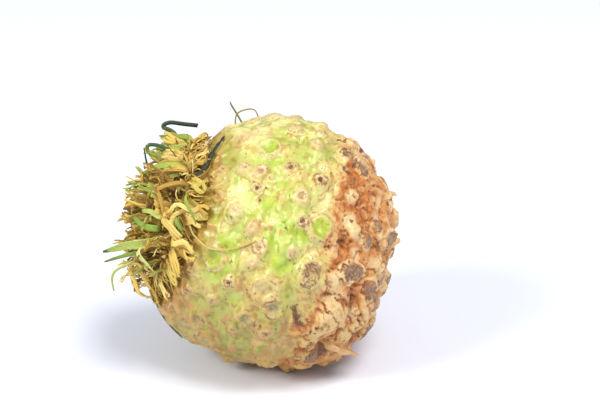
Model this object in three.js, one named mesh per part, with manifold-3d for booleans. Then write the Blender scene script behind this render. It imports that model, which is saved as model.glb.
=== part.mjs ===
// A whole celeriac root lying on its side, in millimetres, +Z up, crown to the left.
// The swollen bulb carries scars, knobs and cut root stubs on its skin. A tuft of dry leaf-stalk stubs fills
// its crown, with fresh green stalks, dark leaf shreds and loose fibres in and around it.
// Every piece is shaped upright, as the plant grows, and the finished plant is then laid down.
// In the plant's frame x points to the front, y to the side that ends up on top, and z along the growth axis.
import * as THREE from "three";
import { mergeVertices } from "three/addons/utils/BufferGeometryUtils.js";
import Module from "manifold-3d";

const wasm = await Module();
wasm.setup();

// Driving sizes, in millimetres and degrees
const bulbRadius = 58;
const restHeight = 57.4; // the bulb's centre above the surface it lies on
const crownRise = 18; // how far the crown end points up
const crownTurn = 4; // how far it is turned towards the front
const seatHeight = 47; // the flattened crown where the leaf stalks stand
const seatTilt = 4; // how far the seat leans off the growth axis
const seatTiltRound = 120; // and to which side
const seatSoftness = 2.2; // rounding between the skin and the seat
const coreRadius = 33;
const coreHeight = 14;
const upperEdge = 20; // no seeded stalk stands further up the core than this
const gap = 0.35; // clearance between neighbouring pieces
const skinDetail = 17;

const degrees = Math.PI / 180;
const goldenAngle = 137.508;

// A repeatable stream of numbers from 0 to 1
function seeded(seed) {
  let state = seed;
  return () => {
    state = (state * 1664525 + 1013904223) % 4294967296;
    return state / 4294967296;
  };
}

// A unit vector: down from the crown's pole, round from the front towards the upper side
function direction(down, round) {
  const across = Math.sin(down * degrees);
  return new THREE.Vector3(
    across * Math.cos(round * degrees),
    across * Math.sin(round * degrees),
    Math.cos(down * degrees),
  );
}

// The way down to the resting surface, and the plant's axes once it is laid down
const growth = new THREE.Vector3(
  -Math.cos(crownRise * degrees) * Math.cos(crownTurn * degrees),
  -Math.cos(crownRise * degrees) * Math.sin(crownTurn * degrees),
  Math.sin(crownRise * degrees),
);
const front = new THREE.Vector3(0, -1, 0);
front.addScaledVector(growth, -front.dot(growth)).normalize();
const side = new THREE.Vector3().crossVectors(growth, front);
const downward = new THREE.Vector3(-front.z, -side.z, -growth.z);
const seatAxis = direction(seatTilt, seatTiltRound);

// Broad swells and hollows that turn the ball into this bulb: down, round, spread in degrees, rise
const swells = [
  [56, -66, 26, 2.4],
  [49, -88, 19, 5.2],
  [112, 30, 34, -2.2],
  [44, 108, 18, 1.8],
  [76, 106, 9, 1.4],
  [152, 12, 24, -4.2],
  [166, 70, 34, -3.4],
  [105, -66, 15, -1.6],
  [130, -50, 20, 3.2],
  [95, 150, 30, 1.6],
  [60, 190, 28, -1.8],
  [125, 215, 26, 2.2],
];

// Scars of leaves and fine roots on the near side, each on a low mound: down, round, radius
const scars = [
  [58, 55, 2.2],
  [65, 53, 2.8],
  [47, 58, 1.3],
  [65, 44, 1.5],
  [58, 30, 2.3],
  [67, 24, 1.4],
  [47, 38, 2.2],
  [57, 78, 2.6],
  [78.5, 57, 2.1],
  [92, 53.5, 2.8],
  [85, 43, 2.4],
  [88, 33, 2.2],
  [96, 32, 4.8],
  [88, 74, 2],
  [79.5, 85, 1.3],
  [91, 84, 1.5],
  [105, 76, 4.5],
  [103.5, 65, 2],
  [64, -4.5, 1.7],
  [71, 9.5, 1.4],
  [72, 17, 2.6],
  [80, -1, 5.5],
  [47, -24, 1.8],
  [60, -18.5, 1.8],
  [58, -38, 3.8],
  [66, -47, 3.8],
  [77, -19, 3.6],
  [73, -27.5, 1.4],
  [75, -55, 1.3],
  [87, -22, 2.2],
  [90, -33, 4.2],
  [86.5, -8, 4.3],
  [97.5, 11.5, 5.8],
  [107.5, -24.5, 1.5],
  [105, -37, 2.6],
  [107, 9, 3.2],
];
const farScars = 62; // on the side that the near list leaves bare
const scarSpacing = 11.5;

// Root knobs at the root end: down, round, half-width round, half-width along, rise
const knobs = [
  [114, -8, 9, 8, 4.6],
  [110, 56, 4.4, 4.6, 2.4],
  [114, 36, 3.6, 5, 2.2],
  [140, 24, 5, 4.5, 3],
  [127, -22, 6, 6, 3],
  [137, -18, 6, 6, 3.4],
  [127, 62, 7, 5, 1.8],
  [131, 42, 4, 4, 2],
  [150, 60, 5, 5, 2.6],
];
const farKnobs = 26;
const knobSpacing = 14;

// Narrow clefts between the knobs: from down, round to down, round, half-width, depth
const clefts = [
  [96, -7, 101, -15, 2.6, 2.2],
  [115, -27, 118, -41, 1.8, 3.6],
  [104, 66, 109, 60, 2.2, 1.2],
  [109, 33, 109, 24, 2, 1.6],
  [113, 61, 115, 50, 1.6, 1.6],
  [124, 8, 126, -12, 1.8, 2.2],
  [131, 30, 134, 2, 1.8, 2.4],
];

// Cut roots, each a low drum with a sliced face: down, round, half-width round, half-width along, rise, slope
const cutRoots = [
  [119, 16, 4.8, 7, 2.6, 0.12],
  [139, 4, 5.6, 5, 2.6, 0.1],
  [124, 35, 3.4, 3.6, 2.2, 0],
  [129, 47, 3, 3, 2, 0.1],
  [113, 73, 4, 3.4, 1.6, 0],
  [150, -14, 5, 5, 2.6, 0],
  [146, 50, 4.4, 4.4, 2.8, 0.1],
  [155, 12, 5.4, 5, 2.4, 0],
];
const farCutRoots = 17;
const cutSpacing = 16;

// Thin root stubs that stand out of the skin: down, round, radius at the foot, length, lean round, lean along
const rootStubs = [
  [121, -31, 2.6, 4, 0.1, 0.7],
  [127, -37, 3, 4.5, 0, 0.8],
  [133, -44, 1.5, 5.5, 0.3, 0.5],
  [153, 56, 2.2, 5, 0.3, 0.2],
  [137, 88, 1.8, 5, 0.1, 0.5],
  [143, 165, 2.6, 5, 0, 0.5],
  [128, 205, 2, 5, 0.2, 0.6],
];

// Places on the bulb for its far side, at least a spacing from the ones already there, by a seeded rule
function scatter(seed, wanted, spacing, taken, lowest, highest) {
  const next = seeded(seed);
  const places = [];
  const all = taken.map(([down, round]) => direction(down, round));
  for (let tries = 0; tries < 6000 && places.length < wanted; tries++) {
    const height = Math.cos(highest * degrees) - Math.cos(lowest * degrees);
    const down = Math.acos(Math.cos(lowest * degrees) + height * next()) / degrees;
    const round = 360 * next() - 180;
    const size = next();
    const here = direction(down, round);
    const clear = all.every((there) => here.angleTo(there) * bulbRadius > spacing);
    if (clear) {
      all.push(here);
      places.push([down, round, size]);
    }
  }
  return places;
}

for (const [down, round, size] of scatter(11, farScars, scarSpacing, [...scars, ...knobs], 44, 110)) {
  scars.push([down, round, 1.4 + 3 * size * size]);
}
for (const [down, round, size] of scatter(37, farCutRoots, cutSpacing, [...cutRoots, ...knobs], 112, 174)) {
  cutRoots.push([down, round, 3.4 + 3 * size, 3.8 + 2.4 * size, 1.8 + 1.6 * size, 0.2 * (size - 0.5)]);
}
for (const [down, round, size] of scatter(23, farKnobs, knobSpacing, [...knobs, ...cutRoots], 108, 174)) {
  knobs.push([down, round, 4 + 3 * size, 4 + 2.5 * size, 2 + 2.2 * size]);
}

// Where a direction lies from a place on the bulb, in millimetres round and along
function offset(here, down, round) {
  const centre = direction(down, round);
  const along = direction(down + 90, round);
  const across = new THREE.Vector3(-Math.sin(round * degrees), Math.cos(round * degrees), 0);
  if (here.dot(centre) < 0.2) return null;
  return [here.dot(across) * bulbRadius, here.dot(along) * bulbRadius];
}

// Gentle waves that keep the skin from being smooth
const waves = [];
const nextWave = seeded(5);
for (let i = 0; i < 14; i++) {
  const length = 13 + 17 * nextWave();
  const way = direction(180 * nextWave(), 360 * nextWave());
  waves.push([way, (2 * Math.PI * bulbRadius) / length, 6.3 * nextWave()]);
}
function ripple(here) {
  let sum = 0;
  for (const [way, rate, shift] of waves) sum += Math.sin(here.dot(way) * rate + shift);
  return sum / waves.length;
}

// The bulb's skin: its distance from the bulb's centre in a direction
function skinRadius(here) {
  let radius = bulbRadius + 1.3 * ripple(here);
  for (const [down, round, spread, rise] of swells) {
    const away = here.angleTo(direction(down, round)) / (spread * degrees);
    radius += rise * Math.exp(-away * away);
  }
  let crowd = 0;
  for (const [down, round, size] of scars) {
    const at = offset(here, down, round);
    if (!at) continue;
    const away = Math.hypot(...at);
    const reach = 4.5 + 0.6 * size;
    const rise = 0.8 + 1.1 * Math.min(1, Math.max(0, (down - 52) / 30));
    crowd += (rise * Math.exp(-((away / reach) ** 2))) ** 3;
    const rim = (away - size) / (0.35 * size + 0.5);
    radius += 0.12 * size * Math.exp(-rim * rim) - 0.1 * size * Math.exp(-((away / (0.7 * size)) ** 2));
  }
  radius += Math.cbrt(crowd);
  for (const [down, round, wide, tall, rise] of knobs) {
    const at = offset(here, down, round);
    if (at) radius += rise * Math.exp(-(((at[0] / wide) ** 2 + (at[1] / tall) ** 2) ** 1.5));
  }
  for (const [down, round, wide, tall, rise, slope] of cutRoots) {
    const at = offset(here, down, round);
    if (!at) continue;
    const away = Math.hypot(at[0] / wide, at[1] / tall);
    radius += (rise + slope * at[1]) / (1 + Math.exp(9 * (away - 1)));
  }
  for (const [down, round, toDown, toRound, half, depth] of clefts) {
    const start = offset(direction(toDown, toRound), down, round);
    const at = offset(here, down, round);
    if (!at) continue;
    const length = start[0] ** 2 + start[1] ** 2;
    const share = Math.min(1, Math.max(0, (at[0] * start[0] + at[1] * start[1]) / length));
    const away = Math.hypot(at[0] - share * start[0], at[1] - share * start[1]) / half;
    radius -= depth * Math.exp(-away * away);
  }
  return radius;
}

// The same with the crown's seat, softly rounded into the skin, and the flat spot that the bulb rests on
function bulbSurface(here) {
  let radius = skinRadius(here);
  const up = here.dot(seatAxis);
  if (up > 0.4) {
    const seat = seatHeight / up;
    radius = -seatSoftness * Math.log(Math.exp(-radius / seatSoftness) + Math.exp(-seat / seatSoftness));
  }
  const sink = here.dot(downward);
  if (sink > 0.5) radius = Math.min(radius, restHeight / sink);
  return radius;
}

// A point on the skin, lifted off it
function onSkin(down, round, lift) {
  const here = direction(down, round);
  return here.multiplyScalar(skinRadius(here) + lift);
}

// A closed geometry as a solid
function solidOf(geometry) {
  const bare = geometry.clone();
  bare.deleteAttribute("normal");
  bare.deleteAttribute("uv");
  const merged = mergeVertices(bare, 1e-4);
  return new wasm.Manifold(
    new wasm.Mesh({
      numProp: 3,
      vertProperties: merged.attributes.position.array,
      triVerts: merged.index.array,
    }),
  );
}

// The largest body of a solid, as a mesh with a name and a finish
function piece(name, solid, material) {
  const body = solid.decompose().reduce((a, b) => (a.volume() > b.volume() ? a : b));
  const made = body.getMesh();
  const geometry = new THREE.BufferGeometry();
  geometry.setAttribute("position", new THREE.BufferAttribute(made.vertProperties, 3));
  geometry.setIndex(new THREE.BufferAttribute(made.triVerts, 1));
  geometry.computeVertexNormals();
  const mesh = new THREE.Mesh(geometry, material);
  mesh.name = name;
  return mesh;
}

function bulbSolid(growBy) {
  const geometry = new THREE.IcosahedronGeometry(1, skinDetail);
  const place = geometry.attributes.position;
  const here = new THREE.Vector3();
  for (let i = 0; i < place.count; i++) {
    here.fromBufferAttribute(place, i).normalize();
    here.multiplyScalar(bulbSurface(here) + growBy);
    place.setXYZ(i, here.x, here.y, here.z);
  }
  return solidOf(geometry);
}

// A thin root stub: a broad foot sunk in the bulb, narrowing to a blunt end
function stubSolid([down, round, foot, length, leanRound, leanAlong]) {
  const sunk = 3;
  const geometry = new THREE.CylinderGeometry(foot * 0.45, foot * 1.2, sunk + length, 7, 3);
  const place = geometry.attributes.position;
  const out = direction(down, round);
  const along = direction(down + 90, round);
  const across = new THREE.Vector3(-Math.sin(round * degrees), Math.cos(round * degrees), 0);
  const base = skinRadius(out) - sunk;
  const here = new THREE.Vector3();
  for (let i = 0; i < place.count; i++) {
    const height = place.getY(i) + (sunk + length) / 2;
    const x = place.getX(i);
    const y = place.getZ(i);
    const above = Math.max(0, height - sunk);
    here.copy(out).multiplyScalar(base + height - 0.06 * above * above);
    here.addScaledVector(across, x + leanRound * above);
    here.addScaledVector(along, y + leanAlong * above);
    place.setXYZ(i, here.x, here.y, here.z);
  }
  return solidOf(geometry);
}

// A stalk, shred or fibre: a flattened bar bent along a curve through points [front, side, growth].
// Its flat looks outwards from the growth axis unless a face is given, and curl bends it like a gutter.
function stalk({ points, wide, thick = wide, tip = 0.5, curl = 0, face, sides = 4, steps = 6 }, growBy = 0) {
  const line = points.map((p) => (p.isVector3 ? p.clone() : new THREE.Vector3(...p)));
  if (growBy) {
    const last = line.length - 1;
    const start = line[0].clone().sub(line[1]).setLength(growBy);
    const end = line[last].clone().sub(line[last - 1]).setLength(growBy);
    line[0].add(start);
    line[last].add(end);
  }
  const curve = new THREE.CatmullRomCurve3(line, false, "catmullrom", 0.5);
  const middle = curve.getPoint(0.5);
  const outward = face ? new THREE.Vector3(...face) : new THREE.Vector3(middle.x, middle.y, 0.01);
  const geometry = new THREE.CylinderGeometry(1, 1, 1, sides, steps);
  const place = geometry.attributes.position;
  const across = new THREE.Vector3();
  const flat = new THREE.Vector3();
  for (let i = 0; i < place.count; i++) {
    const t = Math.min(1, Math.max(0, place.getY(i) + 0.5));
    const here = curve.getPoint(t);
    const way = curve.getTangent(t);
    across.crossVectors(way, outward).normalize();
    flat.crossVectors(across, way);
    const taper = 1 - (1 - tip) * t * t;
    const x = place.getX(i);
    here.addScaledVector(across, x * (wide * taper * 0.5 + growBy));
    here.addScaledVector(flat, place.getZ(i) * (Math.max(0.6, thick * taper) * 0.5 + growBy));
    here.addScaledVector(flat, curl * x * x * wide * taper * 0.5);
    place.setXYZ(i, here.x, here.y, here.z);
  }
  return solidOf(geometry);
}

// The core that the dry stalks stand out of: a dome on the crown's seat
function coreSolid() {
  const profile = [new THREE.Vector2(0, seatHeight - 4)];
  profile.push(new THREE.Vector2(coreRadius - 1, seatHeight - 4));
  for (const turn of [8, 30, 50, 68]) {
    const height = seatHeight + 1 + (coreHeight - 1) * Math.sin(turn * degrees);
    profile.push(new THREE.Vector2(coreRadius * Math.cos(turn * degrees), height));
  }
  profile.push(new THREE.Vector2(0, seatHeight + coreHeight));
  const dome = new THREE.LatheGeometry(profile, 18);
  dome.rotateX(Math.PI / 2);
  return solidOf(dome);
}

// The dry stalk stubs, by a seeded rule: a sunflower spread over the core, each one leaning further out
// the nearer it stands to the rim. The upper edge of the core is left to the long sheaths.
function dryStalks(count, seed) {
  const next = seeded(seed);
  const made = [];
  for (let i = 0; i < count; i++) {
    const spread = Math.sqrt((i + 0.5) / count);
    const turn = i * goldenAngle + 20 * (next() - 0.5);
    const lean = 4 + 40 * spread ** 1.8 + 26 * (next() - 0.5);
    const swing = 60 * (next() - 0.5);
    const bend = 70 * (next() - 0.4);
    const length = 17 - 4 * spread ** 2 + 7 * (next() - 0.5);
    const foot = new THREE.Vector3(Math.cos(turn * degrees), Math.sin(turn * degrees), 0);
    foot.multiplyScalar(spread * (coreRadius - 1.5));
    foot.z = seatHeight + 2.5 + (coreHeight - 5) * Math.sqrt(1 - spread * spread);
    const first = direction(lean, turn + swing);
    const second = direction(lean + bend, turn + 1.8 * swing);
    const middle = foot.clone().addScaledVector(first, 0.5 * length);
    const end = middle.clone().addScaledVector(second, 0.5 * length);
    made.push({
      points: [foot.addScaledVector(first, -2.5), middle, end],
      wide: 1.7 + 2.6 * next(),
      thick: 0.9 + 0.5 * next(),
      tip: 0.35 + 0.5 * next(),
      curl: 0.4 * next(),
      steps: 3,
    });
  }
  return made.filter(({ points }) => points[0].y < upperEdge);
}

// Papery leaf bases that lie out over the shoulder all round the crown's rim, longest at the lower front
function rimScales(count, seed) {
  const next = seeded(seed);
  const made = [];
  for (let i = 0; i < count; i++) {
    const round = (360 * (i + 0.6 * next())) / count - 180;
    const nearFront = Math.exp(-(((round + 5) / 55) ** 2));
    const reach = 39 + 3.5 * next() + 4.5 * nearFront;
    const swing = 16 * (next() - 0.5);
    const root = new THREE.Vector3(Math.cos(round * degrees), Math.sin(round * degrees), 0);
    root.multiplyScalar(coreRadius - 5);
    root.z = seatHeight + 6;
    made.push({
      points: [
        root,
        onSkin(35, round + 0.3 * swing, 3),
        onSkin(39, round + 0.7 * swing, 2.4),
        onSkin(reach, round + swing, 1.3 + 0.9 * next()),
      ],
      wide: 2.6 + 4 * next(),
      thick: 1,
      tip: 0.4,
      curl: 0.06,
      steps: 4,
      face: [Math.cos(round * degrees), Math.sin(round * degrees), 1.2],
    });
  }
  return made;
}

// Dry stalks that stand out from the tuft by their size or their place
const dryLeaders = [
  // the short bright stub that points down across the front
  {
    points: [[26, 12, 55], [33, 10, 60], [37.5, 7, 55], [39.5, 4, 50]],
    wide: 3, thick: 2, tip: 0.8, face: [0.3, 0, 1],
  },
  // thin strands that meet above it
  {
    points: [[24, 24, 52], [28, 26, 57], [26, 20, 65], [28, 17, 63.5], [34, 10, 59]],
    wide: 1.4, tip: 0.8,
  },
  {
    points: [[31, 19, 45], [37, 18, 49], [34, 18, 56], [35, 11, 58]],
    wide: 1.5, tip: 0.8,
  },
  {
    points: [[30, 0, 50], [36, 6, 55], [36, 13, 56], [33, 17, 52]],
    wide: 1.6, tip: 0.7,
  },
  // long sheaths at the upper edge
  {
    points: [[-9, 25, 50], [-10, 30, 56], [-12, 31, 63], [-17, 30, 66]],
    wide: 3.4, tip: 0.35, face: [1, 0.4, 0],
  },
  {
    points: [[6, 24, 50], [3, 29, 57], [1, 28, 65]],
    wide: 3.6, thick: 1.2, tip: 0.5, face: [1, 0.4, 0],
  },
  {
    points: [[16, 24, 50], [15, 28, 56], [12, 24, 65]],
    wide: 3, thick: 1.2, tip: 0.5, curl: 0.4,
  },
  // strands that hang in loops at the lower edge
  {
    points: [[16, -18, 60], [19, -24, 66], [19, -30, 62], [19, -35.5, 58], [17, -37, 51]],
    wide: 1.8, tip: 0.9,
  },
  {
    points: [[18, -15, 60], [22, -20, 63], [21, -27, 58], [20, -34, 51], [18, -38, 48]],
    wide: 1.8, tip: 0.9,
  },
  {
    points: [[8, -22, 58], [10, -30, 64], [12, -36, 60], [13, -39, 53]],
    wide: 1.7, tip: 0.8,
  },
  // the arched leaf base at the lower front
  {
    points: [[33, 3, 53], [39, 1, 52.5], [43.5, 5, 48], [47, 2, 43.5]],
    wide: 2, thick: 1.2, tip: 0.6, face: [0.4, 0, 1],
  },
  {
    points: [[34, -4, 52], [40, -5, 51], [43, -12, 46.5]],
    wide: 4.2, thick: 1.1, tip: 0.5, face: [0.4, 0, 1],
  },
].map((dry) => ({ steps: 5, ...dry }));

// Fresh green stalks and their shreds, each a piece of its own
const greenStalks = {
  stalk_top_fan: {
    points: [[-9, 26, 50], [-14, 33, 54], [-14, 32.5, 60], [-15, 30, 68]],
    wide: 3.6, thick: 1.3, tip: 0.2, curl: 0.3, face: [1, 0.6, 0],
  },
  stalk_top_lower: {
    points: [[-4, 26, 50], [-7, 31.5, 54], [-7, 29.5, 60], [-8, 26, 67]],
    wide: 3, thick: 1.2, tip: 0.35, curl: 0.2, face: [1, 0.4, 0],
  },
  stalk_loop: {
    points: [[1, 22, 58], [-4, 24, 64], [-5, 24, 71], [-5, 27.5, 72.5], [-3, 29.5, 68], [0, 29.5, 61]],
    wide: 2, thick: 1.4, tip: 0.9, face: [1, 0, 0.2],
  },
  stalk_broad_upper: {
    points: [[12, 25, 52], [11, 27, 59], [9, 23, 67], [6, 17, 72]],
    wide: 4.8, thick: 1.4, tip: 0.55, curl: 0.35,
  },
  stalk_front_left: {
    points: [[24, 3, 58], [31, 3, 61], [29, 2, 67], [24, 3, 72]],
    wide: 3.8, thick: 1.3, tip: 0.4, curl: 0.3,
  },
  stalk_front_bright: {
    points: [[26, 10, 57], [31, 9, 61], [28, 9, 65.5], [25, 7, 69]],
    wide: 3.2, thick: 1.2, tip: 0.5, curl: 0.3,
  },
  stalk_front_small: {
    points: [[27, 14, 54], [35, 12, 55], [38, 9, 52], [38.5, 8, 50]],
    wide: 2.2, thick: 1.2, tip: 0.5, curl: 0.3,
  },
  stalk_neck: {
    points: [[27, 20, 52], [34.5, 21, 53], [38.5, 18, 49.5], [41, 14, 46]],
    wide: 3, thick: 1.2, tip: 0.5, face: [0, 0, 1],
  },
  stalk_left_sheath: {
    points: [[22, -4, 58], [30.5, -5, 64], [28.5, -9, 71], [23, -15, 76], [18.5, -20, 80]],
    wide: 6.4, thick: 1.4, tip: 0.2, curl: 0.45,
  },
  stalk_left_shred: {
    points: [[20, -13, 60], [26.5, -14, 68], [22, -20, 74], [18, -25, 78]],
    wide: 3, thick: 1.2, tip: 0.3, curl: 0.2,
  },
  stalk_pale_strip: {
    points: [[27, -8, 62], [33, -10, 66], [34.5, -14, 60], [34, -18.5, 54]],
    wide: 4.4, thick: 1.2, tip: 0.25, face: [0.3, 0, 1],
  },
  stalk_tendril: {
    points: [[20, -14, 58], [23.5, -19, 66], [19.5, -26.5, 71.5], [19, -31.5, 72.5], [20, -37, 70]],
    wide: 1.7, thick: 1.1, tip: 0.5, steps: 8,
  },
};

// Dark green leaf shreds
const darkShreds = {
  shred_folded_tube: {
    points: [
      [-15, 25, 54], [-19, 32, 61], [-20.5, 33, 67], [-20.5, 36, 64.5], [-19.5, 37.5, 58], [-18.5, 39, 51.5],
    ],
    wide: 2.1, thick: 2, tip: 1, face: [1, 0, 0], steps: 9,
  },
  shred_spike: {
    points: [[2, 13, 63], [-1, 19, 70], [-4, 26, 74]],
    wide: 1.3, thick: 1, tip: 0.5, steps: 4,
  },
  shred_shoulder: {
    points: [
      [21, 27, 50], onSkin(37, 59, 1.6), onSkin(40, 70, 1.3), onSkin(43.5, 79, 1.2), onSkin(47.5, 86, 1),
    ],
    wide: 2.8, thick: 1.1, tip: 0.35, face: [0.7, 0.5, 0.5],
  },
};

// Loose fibres, some of them lying along the skin
const fibres = {
  fibre_skin_loop: {
    points: [
      onSkin(36, 19, 2.6), onSkin(40, 12, 1.6), onSkin(45, 9, 1), onSkin(50, 8, 0.9),
      onSkin(55, 9, 0.9), onSkin(60, 11.5, 0.9), onSkin(65, 15, 0.9), onSkin(70, 19, 0.8),
    ],
    wide: 0.9, tip: 0.8, steps: 16,
  },
  fibre_hanging: {
    points: [
      onSkin(38, -88, 1.5), onSkin(43, -88, 1.7), onSkin(49, -85, 1.4),
      onSkin(55, -84, 1.7), onSkin(62, -82, 1.1),
    ],
    wide: 1.1, tip: 0.9, steps: 12,
  },
  fibre_top_hook: {
    points: [onSkin(61, 128, 0.4), [-33.5, 45.5, 34], [-32, 49, 37.5], [-30, 51, 39]],
    wide: 0.9, tip: 0.7, steps: 8,
  },
  fibre_top_bow: {
    points: [
      onSkin(56, 125, 0.4), [-30.5, 46, 34], [-31, 49.5, 30], [-30, 50.5, 26.5], onSkin(67, 121, 1.4),
    ],
    wide: 0.8, tip: 0.8, steps: 10,
  },
};

// Finishes
const finish = (color, roughness) => new THREE.MeshStandardMaterial({ color, roughness, metalness: 0 });
const finishes = {
  skin: finish("#d9cf8e", 0.6),
  dry: finish("#b98a45", 0.85),
  green: finish("#86a545", 0.6),
  dark: finish("#22401c", 0.5),
  fibre: finish("#c2b063", 0.7),
};

// The bulb and its stubs are one body
let bulb = bulbSolid(0);
for (const stub of rootStubs) bulb = bulb.add(stubSolid(stub));

// The tuft is the core and all its dry stalks, with room cut for the other pieces
const bulbGrown = bulbSolid(gap);
let tuft = coreSolid();
for (const dry of [...dryStalks(116, 3), ...rimScales(24, 8), ...dryLeaders]) tuft = tuft.add(stalk(dry));
tuft = tuft.subtract(bulbGrown);

const celeriac = new THREE.Group();
celeriac.add(piece("bulb", bulb, finishes.skin));
const placed = [];
function addLoose(list, material) {
  for (const [name, shape] of Object.entries(list)) {
    let solid = stalk(shape).subtract(bulbGrown);
    for (const other of placed) solid = solid.subtract(other);
    celeriac.add(piece(name, solid, material));
    const room = stalk(shape, gap);
    placed.push(room);
    tuft = tuft.subtract(room);
  }
}
addLoose(greenStalks, finishes.green);
addLoose(darkShreds, finishes.dark);
addLoose(fibres, finishes.fibre);
celeriac.add(piece("stalk_tuft", tuft, finishes.dry));

// Lay the plant down on its side, its resting spot at the origin
const laid = new THREE.Matrix4().makeBasis(front, side, growth);
celeriac.quaternion.setFromRotationMatrix(laid);
celeriac.position.z = restHeight;

export default celeriac;
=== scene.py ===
"""A whole celeriac root lying on its side on a pale floor, its crown of trimmed leaf stalks to the left.

The bulb, the tuft, the green stalks, the dark shreds and the loose fibres are built again, finer, by the
same rules and seeds as their CAD nodes. Shapes are worked out in millimetres in the plant's own frame: x to
the front, y to the side that lies on top, z along the growth axis.
"""
import math

import bpy
import numpy as np
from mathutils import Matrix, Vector, noise


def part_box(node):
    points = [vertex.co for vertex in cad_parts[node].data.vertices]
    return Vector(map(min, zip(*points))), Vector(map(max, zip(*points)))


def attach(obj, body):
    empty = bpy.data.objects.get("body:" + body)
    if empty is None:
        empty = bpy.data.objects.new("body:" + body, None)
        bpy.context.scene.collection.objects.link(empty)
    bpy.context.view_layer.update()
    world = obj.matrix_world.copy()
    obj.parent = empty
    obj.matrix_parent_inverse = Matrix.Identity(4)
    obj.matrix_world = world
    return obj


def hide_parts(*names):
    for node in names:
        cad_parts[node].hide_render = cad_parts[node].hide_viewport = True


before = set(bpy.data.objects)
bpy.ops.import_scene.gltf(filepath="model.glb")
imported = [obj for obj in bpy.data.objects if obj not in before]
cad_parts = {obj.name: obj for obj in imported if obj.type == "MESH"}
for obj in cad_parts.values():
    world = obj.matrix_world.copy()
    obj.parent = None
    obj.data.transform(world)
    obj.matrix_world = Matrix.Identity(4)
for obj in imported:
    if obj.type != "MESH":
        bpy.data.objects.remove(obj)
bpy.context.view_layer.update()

# Driving sizes, in millimetres and degrees, as in the CAD
BULB_RADIUS = 58
REST_HEIGHT = 57.4
CROWN_RISE = 18
CROWN_TURN = 4
SEAT_HEIGHT = 47
SEAT_TILT = 4
SEAT_TILT_ROUND = 120
SEAT_SOFTNESS = 2.2
CORE_RADIUS = 33
CORE_HEIGHT = 14
# No seeded stalk stands further up the core than this
UPPER_EDGE = 20
DRY_STALKS = 116
RIM_SCALES = 24

SKIN_CELLS = 125
RIM_FIBRES = 260
FINE_FIBRES = 430

DEGREES = math.pi / 180
GOLDEN_ANGLE = 137.508
# Stands for the distance of a place round the far side
FAR_AWAY = 999


def seeded(seed):
    """A repeatable stream of numbers from 0 to 1."""
    state = seed

    def draw():
        nonlocal state
        state = (state * 1664525 + 1013904223) % 4294967296
        return state / 4294967296

    return draw


def unit(vectors):
    """One vector, or each row of several, brought to length 1."""
    return vectors / np.linalg.norm(vectors, axis=-1, keepdims=True)


def direction(down, turn):
    """A unit vector: down from the crown's pole, turn from the front towards the upper side."""
    down, turn = down * DEGREES, turn * DEGREES
    return np.array([math.sin(down) * math.cos(turn), math.sin(down) * math.sin(turn), math.cos(down)])


GROWTH = -direction(90 + CROWN_RISE, CROWN_TURN)
VIEWER = np.array([0, -1, 0])
FRONT = unit(VIEWER - VIEWER @ GROWTH * GROWTH)
LAID = np.column_stack([FRONT, np.cross(GROWTH, FRONT), GROWTH])
DOWNWARD = -LAID[2]
SEAT_AXIS = direction(SEAT_TILT, SEAT_TILT_ROUND)

# Broad swells and hollows: down, round, spread in degrees, rise
SWELLS = [
    (56, -66, 26, 2.4), (49, -88, 19, 5.2), (112, 30, 34, -2.2), (44, 108, 18, 1.8), (76, 106, 9, 1.4),
    (152, 12, 24, -4.2), (166, 70, 34, -3.4), (105, -66, 15, -1.6), (130, -50, 20, 3.2),
    (95, 150, 30, 1.6), (60, 190, 28, -1.8), (125, 215, 26, 2.2),
]

# Scars on the near side: down, round, radius, look
SCARS = [
    (58, 55, 2.2, "brown"), (65, 53, 2.8, "brown"), (47, 58, 1.3, "brown"), (65, 44, 1.5, "dark"),
    (58, 30, 2.3, "pink"), (67, 24, 1.4, "pink"), (47, 38, 2.2, "pink"), (57, 78, 2.6, "pink"),
    (78.5, 57, 2.1, "dark"), (92, 53.5, 2.8, "dark"), (85, 43, 2.4, "brown"), (88, 33, 2.2, "dark"),
    (96, 32, 4.8, "green"), (88, 74, 2, "pink"), (79.5, 85, 1.3, "pink"), (91, 84, 1.5, "pink"),
    (105, 76, 4.5, "scab"), (103.5, 65, 2, "brown"), (64, -4.5, 1.7, "dark"), (71, 9.5, 1.4, "pink"),
    (72, 17, 2.6, "brown"), (80, -1, 5.5, "arcs"), (47, -24, 1.8, "dark"), (60, -18.5, 1.8, "pink"),
    (58, -38, 3.8, "mould"), (66, -47, 3.8, "mould"), (77, -19, 3.6, "mould"),
    (73, -27.5, 1.4, "brown"), (75, -55, 1.3, "dark"), (87, -22, 2.2, "brown"), (90, -33, 4.2, "green"),
    (86.5, -8, 4.3, "mould"), (97.5, 11.5, 5.8, "scab"), (107.5, -24.5, 1.5, "dark"),
    (105, -37, 2.6, "dark"), (107, 9, 3.2, "rust"),
]
FAR_SCARS = 62
SCAR_SPACING = 11.5

# Ridges that run down from the crown's edge
RIBS = 52

# Root knobs: down, round, half-width round, half-width along, rise
KNOBS = [
    (114, -8, 9, 8, 4.6), (110, 56, 4.4, 4.6, 2.4), (114, 36, 3.6, 5, 2.2), (140, 24, 5, 4.5, 3),
    (127, -22, 6, 6, 3), (137, -18, 6, 6, 3.4), (127, 62, 7, 5, 1.8), (131, 42, 4, 4, 2),
    (150, 60, 5, 5, 2.6),
]
FAR_KNOBS = 26
KNOB_SPACING = 14

# Clefts: from down, round to down, round, half-width, depth
CLEFTS = [
    (96, -7, 101, -15, 2.6, 2.2), (115, -27, 118, -41, 1.8, 3.6), (104, 66, 109, 60, 2.2, 1.2),
    (109, 33, 109, 24, 2, 1.6), (113, 61, 115, 50, 1.6, 1.6), (124, 8, 126, -12, 1.8, 2.2),
    (131, 30, 134, 2, 1.8, 2.4),
]

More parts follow.
